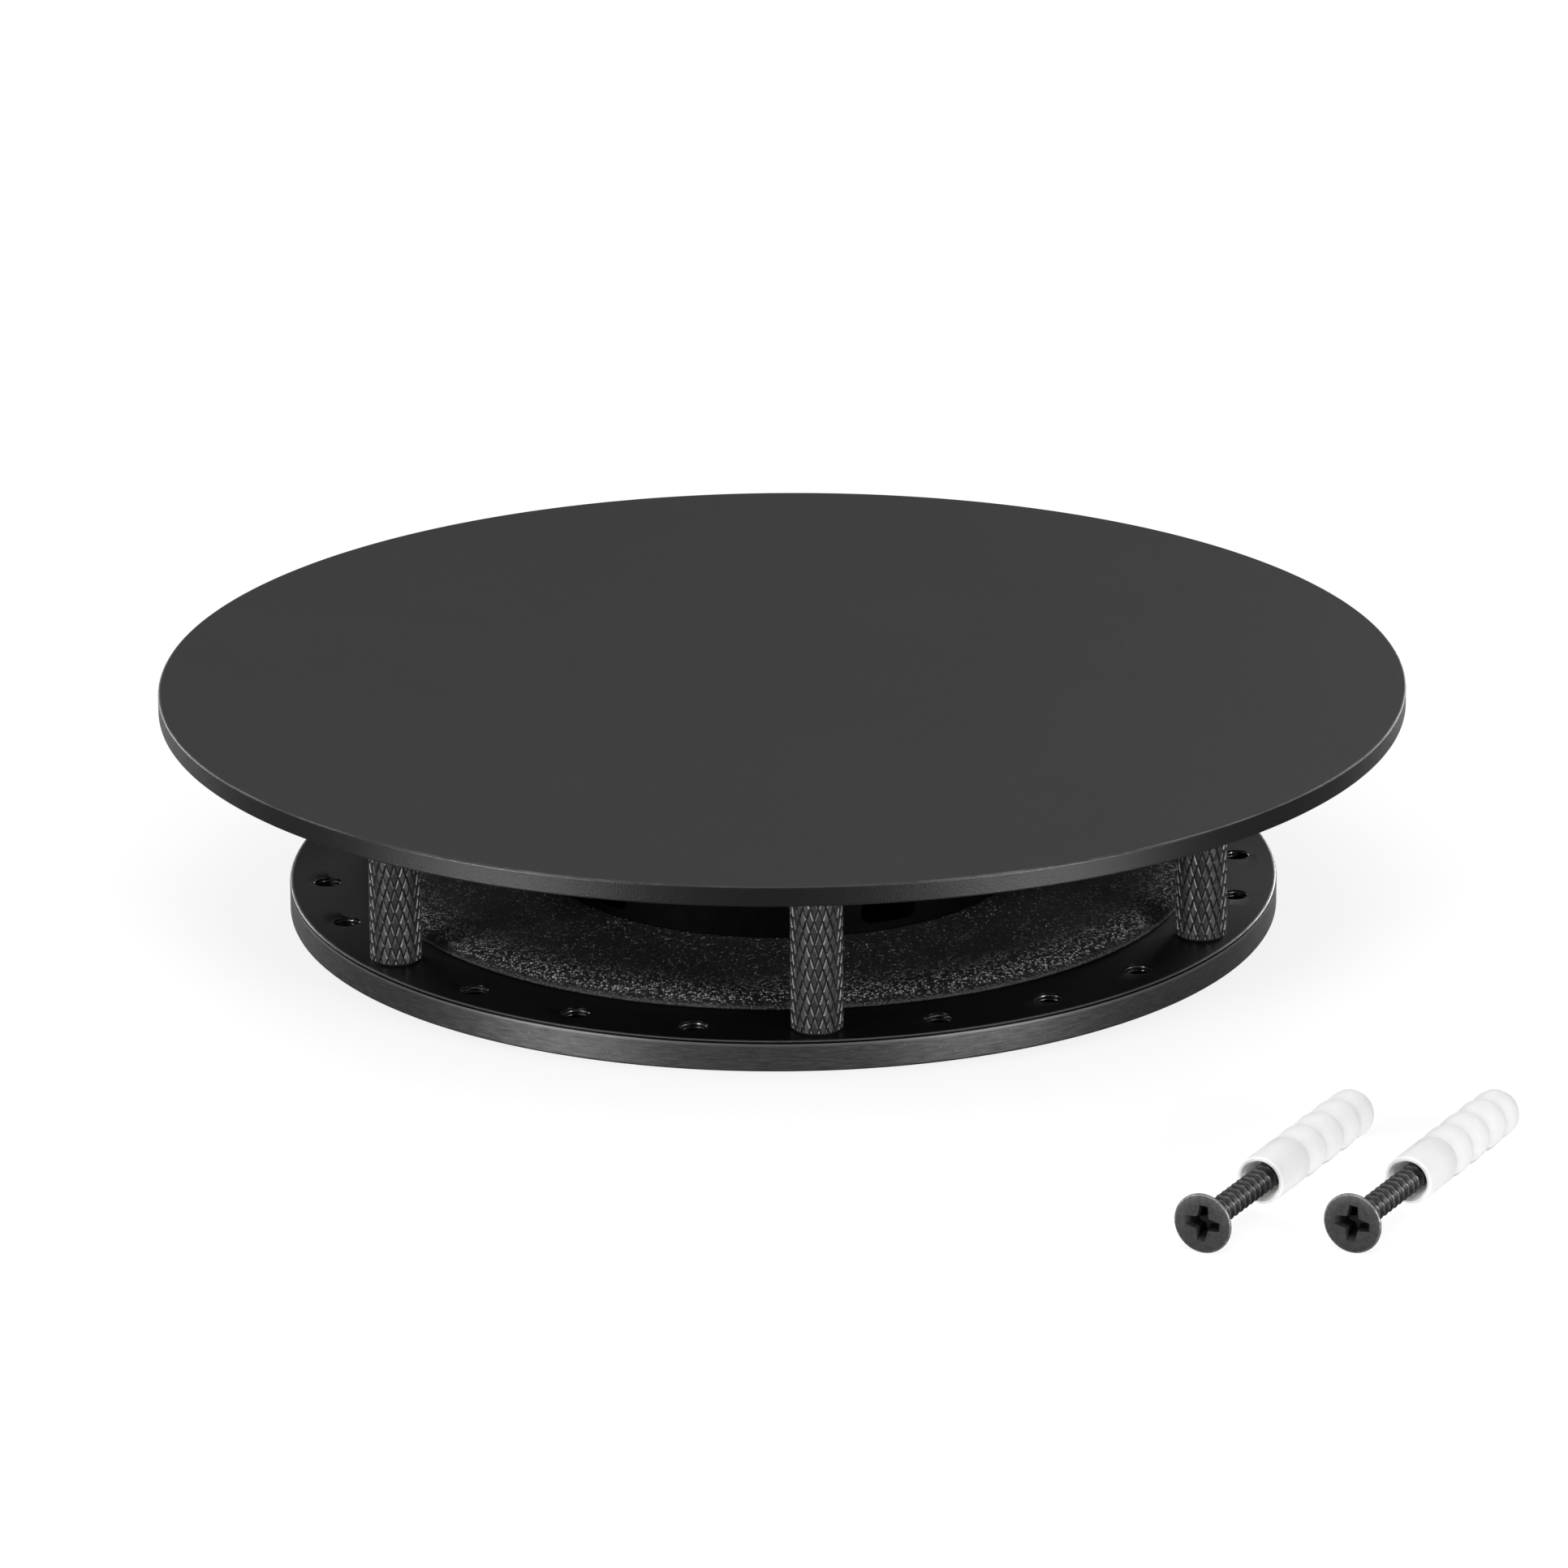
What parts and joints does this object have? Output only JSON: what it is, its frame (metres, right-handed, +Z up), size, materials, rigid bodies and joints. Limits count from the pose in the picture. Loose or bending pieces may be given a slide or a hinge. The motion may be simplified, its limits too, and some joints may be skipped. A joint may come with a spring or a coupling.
{
  "type": "banding wheel",
  "caption": "Low round banding wheel: thin flat disc on knurled pillars over a drilled ring that spins on a ball bearing round a fixed base pan, with its bench screws and plugs.",
  "frame": {"origin": "on the wheel's axis at the bench surface, at the centre of the foot pad", "axes": "+Z up along the wheel's axis; -Y towards the front pillar; the loose fixing kit lies at +X, -Y"},
  "size_m": [0.2035, 0.2596, 0.039],
  "materials": {
    "disc_powder": "fine matte charcoal powder coat",
    "ring_satin": "satin black over fine circumferential brushing",
    "knurled_steel": "blackened, diamond knurled, worn bright on the ridges",
    "pan_granular": "coarse granular black coating",
    "cap_satin": "smooth satin black",
    "foot_rubber": "matte",
    "bearing_steel": "ground and polished",
    "cage_polymer": "moulded",
    "black_steel": "black phosphated, lightly oiled",
    "zinc_steel": "bright zinc",
    "plug_nylon": "moulded translucent white"
  },
  "bodies": {
    "base": {"base_pan": "pan_granular", "centre_cap": "cap_satin", "foot_pad": "foot_rubber", "inner_race": "bearing_steel", "inner_race_clip": "black_steel", "wall_plug_1": "plug_nylon", "wall_plug_2": "plug_nylon"},
    "head": {"wheel_disc": "disc_powder", "pillar_ring": "ring_satin", "outer_race": "bearing_steel", "outer_race_clip": "black_steel", "pillar_1": "knurled_steel", "pillar_2": "knurled_steel", "pillar_3": "knurled_steel", "pillar_4": "knurled_steel", "pillar_5": "knurled_steel", "pillar_6": "knurled_steel", "ring_stud_1": "zinc_steel", "ring_stud_2": "zinc_steel", "ring_stud_3": "zinc_steel", "ring_stud_4": "zinc_steel", "ring_stud_5": "zinc_steel", "ring_stud_6": "zinc_steel", "disc_stud_1": "zinc_steel", "disc_stud_2": "zinc_steel", "disc_stud_3": "zinc_steel", "disc_stud_4": "zinc_steel", "disc_stud_5": "zinc_steel", "disc_stud_6": "zinc_steel"},
    "cage": {"ball_cage": "cage_polymer", "ball_01": "bearing_steel", "ball_02": "bearing_steel", "ball_03": "bearing_steel", "ball_04": "bearing_steel", "ball_05": "bearing_steel", "ball_06": "bearing_steel", "ball_07": "bearing_steel", "ball_08": "bearing_steel", "ball_09": "bearing_steel", "ball_10": "bearing_steel", "ball_11": "bearing_steel", "ball_12": "bearing_steel", "ball_13": "bearing_steel", "ball_14": "bearing_steel", "ball_15": "bearing_steel", "ball_16": "bearing_steel"},
    "screw_1": {"fixing_screw_1": "black_steel"},
    "screw_2": {"fixing_screw_2": "black_steel"}
  },
  "joints": [
    {"name": "head_spin", "type": "hinge", "parent": "base", "child": "head", "pos_m": [0, 0, 0.0041], "axis": [0, 0, 1], "continuous": true},
    {"name": "cage_spin", "type": "hinge", "parent": "base", "child": "cage", "pos_m": [0, 0, 0.0041], "axis": [0, 0, 1], "continuous": true},
    {"name": "screw_1_slide", "type": "slide", "parent": "base", "child": "screw_1", "axis": [-0.5254, -0.8507, 0.0139], "range_m": [-0.016, 0.022]},
    {"name": "screw_2_slide", "type": "slide", "parent": "base", "child": "screw_2", "axis": [-0.5254, -0.8507, 0.0139], "range_m": [-0.016, 0.022]}
  ],
  "couplings": [
    {"joint": "cage_spin", "follows": "head_spin", "ratio": 0.5139}
  ]
}
